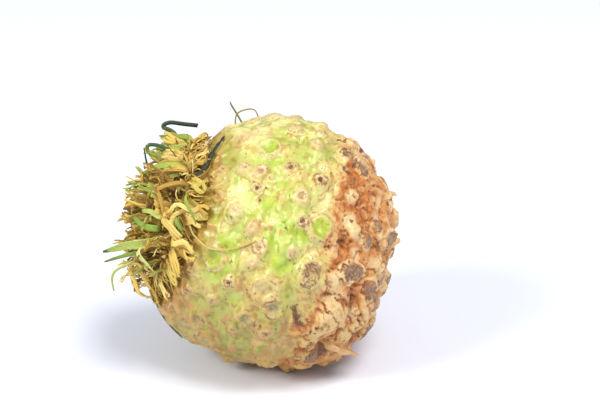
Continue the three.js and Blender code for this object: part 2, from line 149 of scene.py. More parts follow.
# Cut roots: down, round, half-width round, half-width along, rise, slope
CUT_ROOTS = [
    (119, 16, 4.8, 7, 2.6, 0.12), (139, 4, 5.6, 5, 2.6, 0.1), (124, 35, 3.4, 3.6, 2.2, 0),
    (129, 47, 3, 3, 2, 0.1), (113, 73, 4, 3.4, 1.6, 0), (150, -14, 5, 5, 2.6, 0),
    (146, 50, 4.4, 4.4, 2.8, 0.1), (155, 12, 5.4, 5, 2.4, 0),
]
FAR_CUT_ROOTS = 17
CUT_SPACING = 16

# Thin root stubs: down, round, radius at the foot, length, lean round, lean along
ROOT_STUBS = [
    (121, -31, 2.6, 4, 0.1, 0.7), (127, -37, 3, 4.5, 0, 0.8), (133, -44, 1.5, 5.5, 0.3, 0.5),
    (153, 56, 2.2, 5, 0.3, 0.2), (137, 88, 1.8, 5, 0.1, 0.5), (143, 165, 2.6, 5, 0, 0.5),
    (128, 205, 2, 5, 0.2, 0.6),
]


def scatter(seed, wanted, spacing, taken, lowest, highest):
    """Places on the bulb at least a spacing from the ones already there, by a seeded rule."""
    draw = seeded(seed)
    places = []
    held = [direction(place[0], place[1]) for place in taken]
    height = math.cos(highest * DEGREES) - math.cos(lowest * DEGREES)
    for _ in range(6000):
        if len(places) == wanted:
            break
        down = math.acos(math.cos(lowest * DEGREES) + height * draw()) / DEGREES
        turn = 360 * draw() - 180
        size = draw()
        here = direction(down, turn)
        if all(math.acos(max(-1, min(1, here @ there))) * BULB_RADIUS > spacing for there in held):
            held.append(here)
            places.append((down, turn, size))
    return places


for down, turn, size in scatter(11, FAR_SCARS, SCAR_SPACING, SCARS + KNOBS, 44, 110):
    look = ("pink", "brown", "dark", "mould", "brown", "green")[int(size * 5.99)]
    SCARS.append((down, turn, 1.4 + 3 * size * size, look))
for down, turn, size in scatter(37, FAR_CUT_ROOTS, CUT_SPACING, CUT_ROOTS + KNOBS, 112, 174):
    CUT_ROOTS.append((down, turn, 3.4 + 3 * size, 3.8 + 2.4 * size, 1.8 + 1.6 * size, 0.2 * (size - 0.5)))
for down, turn, size in scatter(23, FAR_KNOBS, KNOB_SPACING, KNOBS + CUT_ROOTS, 108, 174):
    KNOBS.append((down, turn, 4 + 3 * size, 4 + 2.5 * size, 2 + 2.2 * size))

# Gentle waves that keep the skin from being smooth
WAVES = []
next_wave = seeded(5)
for _ in range(14):
    length = 13 + 17 * next_wave()
    way = direction(180 * next_wave(), 360 * next_wave())
    WAVES.append((way, 2 * math.pi * BULB_RADIUS / length, 6.3 * next_wave()))


def smooth(low, high, value):
    """A soft step from 0 at low to 1 at high."""
    share = np.clip((value - low) / (high - low), 0, 1)
    return share * share * (3 - 2 * share)


def bell(value):
    return np.exp(-value * value)


def noise_at(points, length, octaves=3, seed=0):
    """Smooth noise from about -1 to 1 at points, its largest features about length apart."""
    spot = points / length + 37.1 * seed
    return np.array([noise.fractal(Vector(p), 0.9, 2.0, octaves) for p in spot]) * 1.3


def ways_on_skin(down, turn):
    """Two unit vectors flat on the bulb: round it and along it."""
    return np.array([-math.sin(turn * DEGREES), math.cos(turn * DEGREES), 0]), direction(down + 90, turn)


def offsets(here, down, turn):
    """Where directions lie from a place on the bulb, in millimetres round and along."""
    near = here @ direction(down, turn) > 0.2
    return [np.where(near, here @ way * BULB_RADIUS, FAR_AWAY) for way in ways_on_skin(down, turn)]


def distance(here, down, turn):
    return np.hypot(*offsets(here, down, turn))


def swells(here):
    """How far the broad swells and hollows move the skin in each direction."""
    return sum(
        rise * bell(np.arccos(np.clip(here @ direction(down, turn), -1, 1)) / (spread * DEGREES))
        for down, turn, spread, rise in SWELLS
    )


def skin_radius(here):
    """The bulb's relief, as in the CAD: the distance of its skin from its centre in each direction."""
    wave_sum = sum(np.sin(here @ way * rate + shift) for way, rate, shift in WAVES)
    radius = BULB_RADIUS + 1.3 * wave_sum / len(WAVES) + swells(here)
    crowd = np.zeros(len(here))
    for down, turn, size, _ in SCARS:
        away = distance(here, down, turn)
        reach = 4.5 + 0.6 * size
        rise = 0.8 + 1.1 * min(1, max(0, (down - 52) / 30))
        crowd += (rise * bell(away / reach)) ** 3
        radius += 0.12 * size * bell((away - size) / (0.35 * size + 0.5))
        radius -= 0.1 * size * bell(away / (0.7 * size))
    radius += np.cbrt(crowd)
    for down, turn, wide, tall, rise in KNOBS:
        at = offsets(here, down, turn)
        radius += rise * np.exp(-(((at[0] / wide) ** 2 + (at[1] / tall) ** 2) ** 1.5))
    for down, turn, wide, tall, rise, slope in CUT_ROOTS:
        at = offsets(here, down, turn)
        away = np.hypot(at[0] / wide, at[1] / tall)
        radius += (rise + slope * at[1]) / (1 + np.exp(np.minimum(9 * (away - 1), 60)))
    for *line, half, depth in CLEFTS:
        radius -= depth * bell(cleft_distance(here, *line) / half)
    return radius


def cleft_distance(here, down, turn, to_down, to_turn):
    """The distance of directions from a short line on the skin, given by its two ends."""
    end = offsets(direction(to_down, to_turn)[None], down, turn)
    at = offsets(here, down, turn)
    length = end[0] ** 2 + end[1] ** 2
    share = np.clip((at[0] * end[0] + at[1] * end[1]) / length, 0, 1)
    return np.hypot(at[0] - share * end[0], at[1] - share * end[1])


def flatten(here, radius):
    """The crown's seat, softly rounded into the skin, and the flat spot that the bulb rests on."""
    up = here @ SEAT_AXIS
    seat = SEAT_HEIGHT / np.maximum(up, 0.4)
    low = np.minimum(radius, seat)
    soft = low - SEAT_SOFTNESS * np.log1p(np.exp(-np.abs(radius - seat) / SEAT_SOFTNESS))
    radius = np.where(up > 0.4, soft, radius)
    sink = here @ DOWNWARD
    return np.where(sink > 0.5, np.minimum(radius, REST_HEIGHT / np.maximum(sink, 0.5)), radius)


def on_skin(down, turn, lift):
    """A point on the skin, lifted off it."""
    here = direction(down, turn)
    return here * (skin_radius(here[None])[0] + lift)


def along_skin(*places):
    return [on_skin(*place) for place in places]


def to_row(points):
    """From the plant's frame, in millimetres, to the row frame, in metres."""
    return (points @ LAID.T + np.array([0, 0, REST_HEIGHT])) / 1000


def add_object(name, data):
    made = bpy.data.objects.new(name, data)
    bpy.context.collection.objects.link(made)
    return made


def make_piece(name, points, faces, attributes, material, slot, node):
    """A mesh of points in the plant's frame that stands for a CAD node and stays within its box."""
    low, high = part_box(node)
    spots = np.clip(to_row(points), low, high)
    mesh = bpy.data.meshes.new(name)
    mesh.from_pydata(spots.tolist(), [], faces)
    for key, values in attributes.items():
        layer = mesh.attributes.new(key, "FLOAT", "POINT")
        layer.data.foreach_set("value", np.asarray(values, np.float32))
    mesh.polygons.foreach_set("use_smooth", [True] * len(mesh.polygons))
    mesh.materials.append(material)
    mesh.update()
    piece = add_object(name, mesh)
    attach(piece, "root")
    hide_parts(node)
    return piece


# Materials

def new_material(name):
    """A material, short ways to add its nodes, and the sockets of its surface."""
    material = bpy.data.materials.new(name)
    material.use_nodes = True
    tree = material.node_tree
    return material, Shader(tree), tree.nodes["Principled BSDF"].inputs


class Shader:
    """Short ways to add the nodes of one material."""

    def __init__(self, tree):
        self.tree = tree

    def put(self, socket, value):
        """Sets a socket to a value, or links it to a socket or to the attribute of that name."""
        if isinstance(value, str):
            value = self.node("Attribute", "Fac", {}, attribute_name=value)
        if isinstance(value, bpy.types.NodeSocket):
            self.tree.links.new(value, socket)
        elif isinstance(value, (tuple, list)):
            socket.default_value = (*value, 1) if len(value) == 3 and socket.type == "RGBA" else value
        else:
            socket.default_value = value

    def node(self, kind, output, inputs, **settings):
        """Adds a node with its inputs, by name or number, and returns one of its outputs."""
        made = self.tree.nodes.new("ShaderNode" + kind)
        for key, value in settings.items():
            setattr(made, key, value)
        for key, value in inputs.items():
            self.put(made.inputs[key], value)
        return made.outputs[output]

    def place(self):
        return self.node("TexCoord", "Object", {})

    def math(self, operation, a, b=0, c=0):
        return self.node("Math", 0, {0: a, 1: b, 2: c}, operation=operation)

    def ragged(self, value, noise, spread):
        """A value raised and lowered by noise, so that what it marks gets a ragged edge."""
        return self.math("MULTIPLY_ADD", self.math("SUBTRACT", noise, 0.5), spread, value)

    def noise(self, vector, scale, detail=4, rough=0.55, twist=0):
        shape = {"Scale": scale, "Detail": detail, "Roughness": rough, "Distortion": twist}
        return self.node("TexNoise", "Fac", {"Vector": vector, **shape})

    def cells(self, vector, scale):
        return self.node("TexVoronoi", "Distance", {"Vector": vector, "Scale": scale})

    def ramp(self, value, low, high, out_low=0, out_high=1):
        ends = {"From Min": low, "From Max": high, "To Min": out_low, "To Max": out_high}
        return self.node("MapRange", 0, {"Value": value, **ends}, interpolation_type="SMOOTHSTEP")

    def mix(self, share, a, b, blend="MIX"):
        return self.node("Mix", 2, {0: share, 6: a, 7: b}, data_type="RGBA", blend_type=blend)

    def vector(self, x, y, z):
        return self.node("CombineXYZ", 0, {0: x, 1: y, 2: z})

    def bump(self, height, strength, distance, normal=None):
        inputs = {"Height": height, "Strength": strength, "Distance": distance}
        if normal is not None:
            inputs["Normal"] = normal
        return self.node("Bump", 0, inputs)


# What is laid over the skin's ground in turn: mask, two colours, how ragged and wide its edge is, and the
# noise that mixes the two
SKIN_COVERS = [
    ("green", (0.54, 0.66, 0.13), (0.48, 0.54, 0.08), 0.5, 0.28, "broad"),
    ("lime", (0.35, 0.51, 0.015), (0.56, 0.7, 0.08), 0.16, 0.24, "broad"),
    ("pale", (0.92, 0.79, 0.36), (0.84, 0.83, 0.34), 0.5, 0.3, "broad"),
    ("beige", (0.82, 0.6, 0.27), (0.76, 0.6, 0.24), 0.8, 0.34, "mid"),
    ("tan", (0.66, 0.4, 0.11), (0.5, 0.27, 0.06), 0.6, 0.26, "mid"),
    ("halo", (0.82, 0.66, 0.32), (0.66, 0.48, 0.19), 0.9, 0.32, "mid"),
    ("root", (0.86, 0.5, 0.18), (0.74, 0.33, 0.09), 0.6, 0.22, "mid"),
    ("rust", (0.8, 0.27, 0.035), (0.46, 0.12, 0.02), 0.7, 0.26, "mid"),
    ("cream", (0.95, 0.71, 0.36), (0.88, 0.58, 0.24), 0.3, 0.3, "mid"),
    ("mould", (0.5, 0.5, 0.24), (0.38, 0.36, 0.19), 0.8, 0.3, "fine"),
    ("grey", (0.42, 0.24, 0.14), (0.22, 0.115, 0.07), 0.6, 0.3, "fine"),
    ("scar", (0.4, 0.2, 0.08), (0.24, 0.1, 0.035), 0.9, 0.26, "fine"),
    ("dark", (0.12, 0.045, 0.018), (0.2, 0.08, 0.03), 0.7, 0.16, "mid"),
]


def skin_material():
    """The bulb: lime hollows, beige ridges and tan veins, brown scars, and a rust-brown root end."""
    material, s, surface = new_material("celeriac_skin")
    place = s.place()
    fine = s.noise(place, 900, 5, 0.6)
    grain = s.noise(place, 2600, 3, 0.6)
    mid = s.noise(place, 260, 5, 0.6, 0.8)
    broad = s.noise(place, 90, 4, 0.55, 0.4)
    speck = s.cells(place, 620)
    noises = {"fine": fine, "mid": mid, "broad": broad}

    colour = s.mix(s.ramp(broad, 0.35, 0.65), (0.72, 0.56, 0.17), (0.64, 0.6, 0.15))
    colour = s.mix(s.ramp(fine, 0.44, 0.72), colour, (0.66, 0.42, 0.15))
    for mask, colour_a, colour_b, spread, width, mixer in SKIN_COVERS:
        edge = s.ragged(s.ragged(mask, fine, spread), mid, spread)
        blend = s.mix(s.ramp(noises[mixer], 0.35, 0.65), colour_a, colour_b)
        colour = s.mix(s.ramp(edge, 0.5 - width, 0.5 + width), colour, blend)
    dots = s.math("MULTIPLY", s.ramp(speck, 0.16, 0.09), s.ramp(mid, 0.5, 0.66))
    colour = s.mix(s.math("MULTIPLY", dots, 0.6), colour, (0.24, 0.1, 0.04))
    # Painted shade: the underside, turned away from the lamps, is darkened, and so is the skin round the
    # crown
    colour = s.mix(s.math("MULTIPLY", "low", 0.9), colour, (0.7, 0.58, 0.31), "MULTIPLY")
    colour = s.mix(s.ramp(grain, 0.3, 0.7, 0, 0.24), colour, (0.4, 0.25, 0.1))
    # Painted shade: the skin is darkened in the recesses of its fine relief
    painted_crease_shade = s.ragged("painted_crease_shade", fine, 0.8)
    colour = s.mix(s.ramp(painted_crease_shade, 0.1, 1, 0, 0.85), colour, (0.78, 0.6, 0.36), "MULTIPLY")
    s.put(surface["Base Color"], colour)

    rough_zone = s.math("MAXIMUM", "root", "scar")
    s.put(surface["Roughness"], s.ramp(rough_zone, 0.1, 0.8, 0.36, 0.7))
    surface["Coat Weight"].default_value = 0.3
    surface["Coat Roughness"].default_value = 0.2
    surface["Subsurface Weight"].default_value = 0.08
    surface["Subsurface Radius"].default_value = (0.004, 0.0025, 0.001)
    surface["Subsurface Scale"].default_value = 1
    lumps = s.bump(mid, s.ramp(rough_zone, 0.1, 0.9, 0.32, 0.6), 0.0014)
    grainy = s.bump(fine, s.ramp(rough_zone, 0.1, 0.9, 0.14, 0.9), 0.0007, lumps)
    s.put(surface["Normal"], grainy)
    return material


def stalk_material(name, tones, roughness):
    """Stalks and strands: coloured by their tone, streaked lengthwise, tinted by green and dark, and
    darkened towards the foot as painted shade.
    """
    material, s, surface = new_material(name)
    stretch = (("around", 2.2), ("along", 1.6), ("tone", 40))
    streak_place = s.vector(*(s.math("MULTIPLY", key, factor) for key, factor in stretch))
    streak = s.noise(streak_place, 2.4, 5, 0.65)
    blotch = s.noise(s.place(), 420, 4, 0.6)
    ramp = s.tree.nodes.new("ShaderNodeValToRGB")
    for position, _ in tones[1:-1]:
        ramp.color_ramp.elements.new(position)
    for element, (_, colour) in zip(ramp.color_ramp.elements, tones):
        element.color = (*colour, 1)
    s.put(ramp.inputs[0], s.ragged("tone", streak, 0.9))
    colour = ramp.outputs[0]
    green = s.ragged("green", blotch, 0.8)
    leaf = s.mix(s.ramp(streak, 0.35, 0.65), (0.25, 0.31, 0.03), (0.54, 0.55, 0.12))
    colour = s.mix(s.ramp(green, 0.3, 0.7), colour, leaf)
    dark = s.ragged("dark", blotch, 0.6)
    colour = s.mix(s.ramp(dark, 0.3, 0.75), colour, s.mix(streak, (0.02, 0.05, 0.012), (0.06, 0.12, 0.03)))
    # Painted shade: each stalk darkens towards its foot, where the stalks crowd together, and the core
    # between them is darkened too
    foot = s.ragged("foot", blotch, 0.5)
    colour = s.mix(s.ramp(foot, 0.2, 0.9, 0, 0.8), colour, (0.17, 0.085, 0.03))
    s.put(surface["Base Color"], colour)
    surface["Roughness"].default_value = roughness
    s.put(surface["Normal"], s.bump(streak, 0.5, 0.0005))
    return material


DRY_TONES = [
    (0, (0.1, 0.045, 0.01)), (0.25, (0.34, 0.18, 0.03)), (0.5, (0.63, 0.4, 0.07)),
    (0.75, (0.8, 0.56, 0.12)), (1, (0.9, 0.74, 0.3)),
]
GREEN_TONES = [
    (0, (0.05, 0.11, 0.015)), (0.4, (0.22, 0.34, 0.035)),
    (0.7, (0.44, 0.53, 0.08)), (1, (0.72, 0.7, 0.26)),
]
DARK_TONES = [(0, (0.008, 0.018, 0.006)), (0.5, (0.02, 0.05, 0.012)), (1, (0.13, 0.22, 0.04))]
FIBRE_TONES = [(0, (0.2, 0.18, 0.05)), (0.5, (0.62, 0.44, 0.1)), (1, (0.8, 0.62, 0.22))]
SKIN = skin_material()
DRY = stalk_material("dry_stalk", DRY_TONES, 0.75)
GREEN = stalk_material("green_stalk", GREEN_TONES, 0.5)
DARK = stalk_material("dark_shred", DARK_TONES, 0.45)
FIBRE = stalk_material("loose_fibre", FIBRE_TONES, 0.65)


# The bulb

def ball(cells):
    """Directions and faces of a ball made of six square nets of cells by cells."""
    steps = np.tan(np.linspace(-math.pi / 4, math.pi / 4, cells + 1))
    u, v = np.meshgrid(steps, steps, indexing="ij")
    one = np.ones_like(u)
    nets = [(u, v, one), (v, u, -one), (one, u, v), (-one, v, u), (v, one, u), (u, -one, v)]
    spots = unit(np.concatenate([np.stack(net, -1).reshape(-1, 3) for net in nets]))
    row = np.arange(cells)
    first = (row[:, None] * (cells + 1) + row[None, :]).ravel()
    quad = np.stack([first, first + cells + 1, first + cells + 2, first + 1], 1)
    quads = np.concatenate([quad + k * (cells + 1) ** 2 for k in range(6)])
    _, keep, merged = np.unique(np.round(spots, 7), axis=0, return_index=True, return_inverse=True)
    return spots[keep], merged.ravel()[quads]


# Colour patches, given one by one: down, round, spread in millimetres, strength
PATCHES = {
    "lime": [
        (53.5, 18, 6, 0.9), (53.5, 9, 6, 0.9), (55, 37, 6.5, 0.7), (69, 34, 6, 0.9), (82, 28, 5, 0.8),
        (84, 13, 6, 1), (85, 20, 5, 0.9), (58, -1, 7, 0.8), (55, 55, 5.5, 0.7), (65, 66, 4, 0.7),
        (75, 47, 5, 0.45), (71.6, 92, 6, 0.6), (41.6, -10, 4, 0.5), (76, 20, 5, 0.8), (90, 27, 5, 0.8),
        (61, 37, 6, 0.8), (58, 12, 5, 0.8), (72, 40, 5, 0.7), (54, 48, 5, 0.7), (70, 60, 5, 0.6),
    ],
    "green": [
        (60, 30, 17, 0.8), (66, 60, 16, 0.55), (80, 40, 14, 0.6), (85.6, 65, 9, 0.7), (93.6, 72, 8, 0.6),
        (87, 40, 8, 0.6), (46.6, 91, 9, 0.6), (54.6, -27, 9, 0.7), (65.6, -26, 8, 0.6), (78, -34, 9, 0.6),
        (91, -31, 5, 0.7), (47.8, -59, 6, 0.5), (56, 0, 14, 0.7), (80, 18, 12, 0.7), (74, 92, 12, 0.5),
        (90, -6, 6, 0.5), (62, -48, 10, 0.4), (89, 26, 9, 0.8), (90, 14, 8, 0.6),
    ],
    "pale": [
        (55, 38, 9, 0.9), (54, 22, 5, 0.7), (66, 36, 5, 0.6), (48, 50, 12, 0.6), (60, 75, 14, 0.6),
        (50, 95, 12, 0.5), (95, 45, 10, 0.6), (92, 62, 9, 0.5), (73, 32, 8, 0.4), (94, 20, 9, 0.5),
    ],
    "tan": [
        (68, 24.5, 5, 0.9), (66, 15, 4, 0.6), (68.7, -4, 7, 0.7), (54, -17, 6, 0.5), (53, 75, 6, 0.5),
        (75.4, 42, 3.5, 0.7), (74, -8, 7, 0.6), (99, -23.5, 12, 0.55), (84, -26, 10, 0.5),
        (60, -12, 6, 0.4), (79, 1, 6, 0.4), (88, -45, 12, 0.5), (72, -60, 14, 0.5),
    ],
    "rust": [
        (104.7, 70, 7, 0.9), (105.8, 54, 7, 0.95), (113, 49, 7, 1), (118, 58, 5, 0.9), (109, 30, 5, 1),
        (108.4, 10, 4.5, 0.95), (106.5, -4, 5, 0.8), (98, -14.6, 6, 0.8), (122.8, 10, 5, 0.9),
        (131, 26, 5, 0.7), (105, -37, 7, 0.8), (98, 61, 5, 0.8), (128, 78, 6, 0.8), (103, 40, 5, 0.8),
        (104, -16, 6, 0.6), (126, -5, 5, 0.8), (116, -34, 5, 0.9), (108, 20, 7, 1), (112, 28, 5, 1),
        (108, 64, 8, 1), (116, 44, 7, 0.9), (108, 46, 6, 0.9), (103, 0, 7, 0.9), (120, 6, 6, 0.9),
        (124, 20, 6, 0.7), (112, 68, 8, 0.9), (121, 52, 6, 0.8), (122, -14, 5, 0.8),
    ],
    "cream": [
        (109, 53.5, 4, 1), (109, 41, 5, 1), (116, 35.7, 4, 0.9), (113, -1, 8, 1), (115, -9, 8, 1),
        (108, -5, 5, 0.8), (118.6, 26, 4, 0.9), (130, 50, 6, 0.8), (129, -10, 5, 0.8),
        (104.5, 30, 4, 0.7), (137, 24, 5, 0.8), (116.5, 79, 5, 0.6), (102, 24, 7, 0.7), (121, 24, 4, 0.7),
        (127, 62, 5, 0.8),
    ],
}

# Where shreds and fibres lie along the skin: down, round
LAIN_ON = [
    (40, 12), (45, 9), (50, 8), (55, 9), (60, 11.5), (65, 15), (70, 19),
    (40, 70), (44, 79), (48, 86), (43, -88), (49, -85), (55, -84), (62, -82),
]


def patches(here, colour):
    """How strongly the patches of one colour cover each direction."""
    cover = np.zeros(len(here))
    for down, turn, spread, strength in PATCHES[colour]:
        cover = np.maximum(cover, strength * bell(distance(here, down, turn) / spread))
    return cover


def tube_faces(rings, sides):
    """Faces of a closed tube: its rings of corners in order, then one corner at each end."""
    faces = [
        (ring * sides + side, ring * sides + (side + 1) % sides,
         (ring + 1) * sides + (side + 1) % sides, (ring + 1) * sides + side)
        for ring in range(rings - 1) for side in range(sides)
    ]
    foot = rings * sides
    rim = foot - sides
    faces += [(foot, (side + 1) % sides, side) for side in range(sides)]
    faces += [(foot + 1, rim + side, rim + (side + 1) % sides) for side in range(sides)]
    return faces


def scar_marks(warped, drift, crinkle, broken, lay):
    """Lays the colours of the scars. Returns their relief and the green discs among them."""
    fine = np.zeros(len(warped))
    discs = np.zeros(len(warped))
    for down, turn, size, look in SCARS:
        away = distance(warped, down, turn)
        ring = bell((away - size) / (0.22 * size + 0.25))
        heart = smooth(0.8 * size, 0.25 * size, away)
        halo = smooth(size + 4.4, 0.5 * size, away)
        outer = bell((away - size - 2.2) / 0.5)
        fine += 0.34 * ring - 0.55 * heart - 0.2 * outer + 0.14 * halo * np.sin(5 * away + 2 * drift)
        lay("halo", {"green": 0, "mould": 0.5, "arcs": 0.5}.get(look, 0.75) * halo)
        lay("scar", 0.58 * outer * broken)
        if look == "pink":
            lay("scar", 0.5 * ring * broken)
        elif look == "brown":
            lay("scar", 0.62 * np.maximum(ring * broken, heart))
            lay("dark", 0.6 * bell(away / (0.35 * size)) * broken)
        elif look == "dark":
            lay("scar", 0.66 * np.maximum(ring, heart))
            lay("dark", 0.85 * smooth(0.75 * size, 0.3 * size, away + 0.3 * drift))
        elif look == "scab":
            shell = 0.5 + 0.5 * np.sin(away * 4.6 + 3 * drift)
            inside = smooth(1.1 * size, 0.9 * size, away)
            fine += 0.5 * shell * inside
            lay("scar", smooth(1.15 * size, 0.8 * size, away) * (0.42 + 0.3 * (1 - shell)))
            lay("dark", 0.62 * (1 - shell) * broken * inside)
            lay("dark", 0.6 * ring * broken)
        elif look == "arcs":
            arcs = bell((away - 0.5 * size) / 0.45)
            fine -= 0.4 * arcs
            lay("scar", 0.6 * bell((away - size) / 0.6) * broken)
            lay("dark", 0.62 * arcs * smooth(0, 0.5, drift))
        elif look == "mould":
            lay("mould", 0.62 * smooth(1.2 * size, 0.4 * size, away))
            lay("scar", 0.6 * ring * broken)
            lay("dark", 0.55 * ring * smooth(0.2, 0.7, crinkle))
        elif look == "green":
            discs = np.maximum(discs, smooth(1.05 * size, 0.75 * size, away))
            lay("halo", 0.8 * bell((away - 1.25 * size) / 1.1))
            lay("scar", 0.6 * bell((away - 1.12 * size) / 0.5) * broken)
        elif look == "rust":
            lay("scar", 0.5 * heart)
    return fine, discs


def root_marks(warped, crinkle, broken, lay):
    """Lays the colours of cut roots, and painted shade in the clefts. Returns the cut roots' relief and
    rims.
    """
    fine = np.zeros(len(warped))
    rims = np.zeros(len(warped))
    for down, turn, wide, tall, _, _ in CUT_ROOTS:
        at = offsets(warped, down, turn)
        away = np.hypot(at[0] / wide, at[1] / tall)
        face = smooth(1, 0.82, away)
        fine += 0.6 * bell((away - 1.12) / 0.14) - 0.6 * face + 0.35 * face * crinkle
        lay("grey", face * (0.8 + 0.3 * crinkle))
        lay("dark", 0.62 * face * smooth(0, 0.5, crinkle))
        lay("dark", 0.6 * bell((away - 0.96) / 0.1) * broken)
        rims = np.maximum(rims, 0.9 * bell((away - 1.22) / 0.16))
    for *line, half, _ in CLEFTS:
        away = cleft_distance(warped, *line)
        # Painted shade: the clefts are darkened
        lay("dark", 0.56 * smooth(1.3 * half, 0.3 * half, away + 0.4 * crinkle))
    return fine, rims


def bulb_piece():
    """The bulb's skin with its fine relief, and the masks that its material reads."""
    here, quads = ball(SKIN_CELLS)
    points = here * BULB_RADIUS
    down = np.degrees(np.arccos(np.clip(here[:, 2], -1, 1)))
    turn = np.degrees(np.arctan2(here[:, 1], here[:, 0]))
    ringed = points * np.array([1, 1, 1.8])
    lumps = noise_at(ringed, 13, 3, 1)
    crinkle = noise_at(points, 4.2, 4, 2)
    drift = noise_at(points, 3.6, 2, 3)
    veins = 1 - np.abs(noise_at(points + 2.5 * lumps[:, None], 8.5, 3, 4)) * 2.2
    pits = noise_at(points, 2.1, 2, 5)
    broad = noise_at(ringed, 28, 2, 6)
    folds = noise_at(points + 2 * lumps[:, None], 13, 2, 8)

    # Directions nudged by the noise, so that nothing on the skin is a true circle
    warped = unit(here + 0.016 * np.stack([drift, crinkle, lumps], 1))
    root_zone = smooth(97, 107, down + 6 * lumps)
    root_zone = np.maximum(root_zone, 0.9 * smooth(4, 1.5, distance(warped, 98, -15)))
    skin = 1 - root_zone
    far = smooth(-62, -80, turn) + smooth(96, 112, turn)
    radius = skin_radius(here)
    lift = radius - BULB_RADIUS - swells(here)
    hollow = smooth(1.35, 0, lift + 0.5 * lumps)

    masks = {key: np.zeros(len(here)) for key in ("scar", "dark", "halo", "mould", "grey")}

    def lay(key, strength):
        masks[key] = np.maximum(masks[key], strength)

    broken = smooth(-0.25, 0.35, crinkle + 0.4 * pits)
    scar_relief, discs = scar_marks(warped, drift, crinkle, broken, lay)
    root_relief, rims = root_marks(warped, crinkle, broken, lay)
    fine = scar_relief + root_relief

    # The root end is folded and cracked. The rest only wrinkles, along lines of equal height
    calm = 1 - smooth(0, 0.5, masks["grey"])
    creases = root_zone * smooth(0.62, 0.97, veins)
    wrinkle = np.sin(4.4 * lift + 3.4 * lumps + 1.3 * drift)
    ribs = np.sin(RIBS * np.radians(turn) + 3 * lumps + 1.5 * drift) * bell((down - 40) / 7)
    fine += root_zone * calm * (1.8 * folds + 0.25 * crinkle + 0.15 * pits) - 1.6 * creases * calm
    fine += skin * (0.27 * wrinkle + 0.12 * crinkle + 0.06 * pits + 0.9 * lumps - (hollow - 0.5))
    fine += 0.9 * ribs

    # Lime in the hollows, tan on the crests and below the crown
    band = smooth(40, 50, down) * smooth(99, 86, down)
    wild = smooth(-0.5, 0.6, broad + 0.8 * hollow - 0.3) * band
    lime = np.maximum(patches(warped, "lime"), 0.7 * wild * hollow * (0.3 + 0.5 * far))
    greens = np.maximum(patches(warped, "green"), (0.85 - 0.25 * far) * wild)
    masks["lime"] = np.maximum(lime * (0.78 + 0.42 * hollow), 0.95 * discs) * skin
    masks["green"] = np.maximum(greens + 0.12, lime) * skin
    upper_pale = 0.62 * smooth(58, 90, turn) * smooth(150, 120, turn) * smooth(-0.5, 0.4, crinkle + lumps)
    pale = np.maximum(patches(warped, "pale"), 0.5 * smooth(50, 40, down))
    masks["pale"] = np.maximum(pale, upper_pale) * skin
    masks["beige"] = smooth(1, 2.4, lift + 0.5 * lumps) * skin * 0.75 * (1 - discs)
    # Painted shade: marks the recesses of the fine relief, where the skin is darkened
    masks["painted_crease_shade"] = smooth(0.1, 1, -0.5 * wrinkle - 0.7 * crinkle - 0.5 * pits)
    low = smooth(-0.2, 0.75, here @ direction(90, -85))
    shoulder = smooth(60, 46, down + 5 * lumps) * smooth(-0.2, 0.35, here @ direction(90, -60))
    crest = smooth(0.5, 1, wrinkle) * smooth(-0.7, 0.2, broad + 0.5 * crinkle)
    vein_tan = 0.74 * crest + 0.38 * low + 0.25 * shoulder + 0.5 * smooth(0.5, 1, ribs) + 0.12 * lumps
    masks["tan"] = np.maximum(patches(warped, "tan"), vein_tan * (1 - 0.5 * lime)) * skin
    # Painted shade: darkens the underside, turned away from the lamps, and also the skin round the crown
    masks["low"] = np.maximum(low * smooth(0.9, -0.3, here @ LAID[2]), smooth(60, 45, down + 5 * lumps))
    masks["halo"] *= skin

    # Rust between the root end's folds, painted shade in its creases, cream on what stands up
    masks["root"] = root_zone
    rust_wild = smooth(0.5, -0.3, folds + 0.3 * lumps) * (0.6 + 0.4 * far)
    rust = np.maximum(patches(warped, "rust"), np.maximum(rust_wild, 0.85 * creases))
    masks["rust"] = rust * root_zone
    lifted = np.maximum(smooth(0.5, 2, lift + 1.3 * folds) * (0.8 + 0.2 * far), rims)
    masks["cream"] = np.maximum(patches(warped, "cream"), lifted) * root_zone * (1 - 0.8 * creases)
    # Painted shade: the creases between the folds are darkened
    lay("dark", 0.66 * creases * smooth(-0.1, 0.4, crinkle))
    lay("dark", 0.62 * smooth(0.62, 0.9, pits + 0.5 * root_zone * drift))

    # The skin stays low where the shreds and fibres lie on it
    for place in LAIN_ON:
        near = bell(distance(here, *place) / 4)
        fine += near * (np.minimum(fine, -0.1) - fine)
    points = here * flatten(here, radius + fine)[:, None]
    faces = quads.tolist()
    for stub in ROOT_STUBS:
        stub_points, stub_faces = root_stub(*stub)
        faces += [[corner + len(points) for corner in face] for face in stub_faces]
        points = np.concatenate([points, stub_points])
    stub_look = {"cream": 0.5, "root": 1.0, "rust": 0.45}
    for key, mask in masks.items():
        on_stubs = np.full(len(points) - len(here), stub_look.get(key, 0.0))
        masks[key] = np.append(mask, on_stubs)
    return make_piece("bulb_skin", points, faces, masks, SKIN, "skin", "bulb")


def root_stub(down, turn, foot, length, lean_round, lean_along, sides=16, steps=8):
    """A thin root stub: a broad foot sunk in the bulb, narrowing to a blunt, uneven end."""
    sunk = 3
    out = direction(down, turn)
    across, along = ways_on_skin(down, turn)
    base = skin_radius(out[None])[0] - sunk
    points = []
    for step in range(steps + 1):
        share = step / steps
        height = (sunk + length) * share
        above = max(0, height - sunk)
        size = foot * (1.2 + (0.45 - 1.2) * share)
        for side in range(sides):
            angle = 2 * math.pi * side / sides
            uneven = size * (1 + 0.08 * math.sin(3 * angle + down + 2 * share))
            x = uneven * math.sin(angle) + lean_round * above
            y = uneven * math.cos(angle) + lean_along * above
            points.append(out * (base + height - 0.06 * above * above) + across * x + along * y)
    points += [out * base, np.mean(points[-sides:], axis=0)]
    return np.array(points), tube_faces(steps + 1, sides)


# Stalks, shreds and fibres

